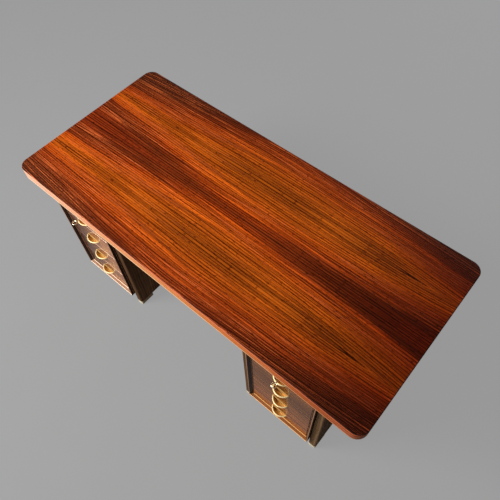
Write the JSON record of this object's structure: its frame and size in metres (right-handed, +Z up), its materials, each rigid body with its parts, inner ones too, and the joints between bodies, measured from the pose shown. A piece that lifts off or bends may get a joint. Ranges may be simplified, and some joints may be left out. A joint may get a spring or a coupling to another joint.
{
  "type": "kneehole desk",
  "caption": "Kneehole desk with a thick rounded top on two pedestals of drawers with half-moon cup pulls, keyed locks in the top drawers and slab sides on metal feet.",
  "frame": {"origin": "on the floor, under the middle of the whole desk with its keys", "axes": "+X along the top from the left pedestal to the right one, +Y from the front to the back, +Z up"},
  "size_m": [1.8, 0.831, 0.73],
  "materials": {
    "rosewood_top": "gloss lacquer",
    "rosewood_edge": "gloss lacquer",
    "rosewood_panel": "gloss lacquer",
    "rosewood_case": "gloss lacquer",
    "rosewood_front": "gloss lacquer",
    "secondary_wood": "satin lacquer",
    "brass": "polished",
    "key_brass": "polished",
    "lock_brass": "satin",
    "lock_steel": "satin"
  },
  "bodies": {
    "desk": {"top_panel": "rosewood_top", "top_edge_frame": "rosewood_edge", "top_battens": "secondary_wood", "modesty_panel": "rosewood_panel", "brass_feet": "brass", "left_outer_panel": "rosewood_panel", "left_inner_panel": "rosewood_panel", "left_case_outer_side": "rosewood_case", "left_case_inner_side": "rosewood_case", "left_case_bottom": "rosewood_case", "left_case_top": "rosewood_case", "left_back_panel": "rosewood_panel", "left_drawer_runners": "secondary_wood", "right_outer_panel": "rosewood_panel", "right_inner_panel": "rosewood_panel", "right_case_outer_side": "rosewood_case", "right_case_inner_side": "rosewood_case", "right_case_bottom": "rosewood_case", "right_case_top": "rosewood_case", "right_back_panel": "rosewood_panel", "right_drawer_runners": "secondary_wood"},
    "left_drawer_1": {"left_drawer_1_front": "rosewood_front", "left_drawer_1_box": "secondary_wood", "left_drawer_1_bottom": "secondary_wood", "left_drawer_1_pull": "brass", "left_lock_case": "lock_steel"},
    "left_drawer_2": {"left_drawer_2_front": "rosewood_front", "left_drawer_2_box": "secondary_wood", "left_drawer_2_bottom": "secondary_wood", "left_drawer_2_pull": "brass"},
    "left_drawer_3": {"left_drawer_3_front": "rosewood_front", "left_drawer_3_box": "secondary_wood", "left_drawer_3_bottom": "secondary_wood", "left_drawer_3_pull": "brass"},
    "left_drawer_4": {"left_drawer_4_front": "rosewood_front", "left_drawer_4_box": "secondary_wood", "left_drawer_4_bottom": "secondary_wood", "left_drawer_4_pull": "brass"},
    "left_lock_bolt": {"left_lock_bolt": "lock_brass"},
    "left_key": {"left_key": "key_brass"},
    "right_drawer_1": {"right_drawer_1_front": "rosewood_front", "right_drawer_1_box": "secondary_wood", "right_drawer_1_bottom": "secondary_wood", "right_drawer_1_pull": "brass", "right_lock_case": "lock_steel"},
    "right_drawer_2": {"right_drawer_2_front": "rosewood_front", "right_drawer_2_box": "secondary_wood", "right_drawer_2_bottom": "secondary_wood", "right_drawer_2_pull": "brass"},
    "right_drawer_3": {"right_drawer_3_front": "rosewood_front", "right_drawer_3_box": "secondary_wood", "right_drawer_3_bottom": "secondary_wood", "right_drawer_3_pull": "brass"},
    "right_drawer_4": {"right_drawer_4_front": "rosewood_front", "right_drawer_4_box": "secondary_wood", "right_drawer_4_bottom": "secondary_wood", "right_drawer_4_pull": "brass"},
    "right_lock_bolt": {"right_lock_bolt": "lock_brass"},
    "right_key": {"right_key": "key_brass"}
  },
  "joints": [
    {"name": "left_drawer_1_slide", "type": "slide", "parent": "desk", "child": "left_drawer_1", "axis": [0, -1, 0], "range_m": [0, 0.4]},
    {"name": "left_drawer_2_slide", "type": "slide", "parent": "desk", "child": "left_drawer_2", "axis": [0, -1, 0], "range_m": [0, 0.4]},
    {"name": "left_drawer_3_slide", "type": "slide", "parent": "desk", "child": "left_drawer_3", "axis": [0, -1, 0], "range_m": [0, 0.4]},
    {"name": "left_drawer_4_slide", "type": "slide", "parent": "desk", "child": "left_drawer_4", "axis": [0, -1, 0], "range_m": [0, 0.4]},
    {"name": "left_key_turn", "type": "hinge", "parent": "left_drawer_1", "child": "left_key", "pos_m": [-0.554, -0.3585, 0.612], "axis": [0, -1, 0], "range_deg": [0, 90]},
    {"name": "left_bolt_rise", "type": "slide", "parent": "left_drawer_1", "child": "left_lock_bolt", "axis": [0, 0, 1], "range_m": [0, 0.008]},
    {"name": "right_drawer_1_slide", "type": "slide", "parent": "desk", "child": "right_drawer_1", "axis": [0, -1, 0], "range_m": [0, 0.4]},
    {"name": "right_drawer_2_slide", "type": "slide", "parent": "desk", "child": "right_drawer_2", "axis": [0, -1, 0], "range_m": [0, 0.4]},
    {"name": "right_drawer_3_slide", "type": "slide", "parent": "desk", "child": "right_drawer_3", "axis": [0, -1, 0], "range_m": [0, 0.4]},
    {"name": "right_drawer_4_slide", "type": "slide", "parent": "desk", "child": "right_drawer_4", "axis": [0, -1, 0], "range_m": [0, 0.4]},
    {"name": "right_key_turn", "type": "hinge", "parent": "right_drawer_1", "child": "right_key", "pos_m": [0.554, -0.3585, 0.612], "axis": [0, -1, 0], "range_deg": [0, 90]},
    {"name": "right_bolt_rise", "type": "slide", "parent": "right_drawer_1", "child": "right_lock_bolt", "axis": [0, 0, 1], "range_m": [0, 0.008]}
  ],
  "couplings": [
    {"joint": "left_key_turn", "follows": "left_bolt_rise", "rad_per_m": 196.34},
    {"joint": "right_key_turn", "follows": "right_bolt_rise", "rad_per_m": 196.34}
  ]
}
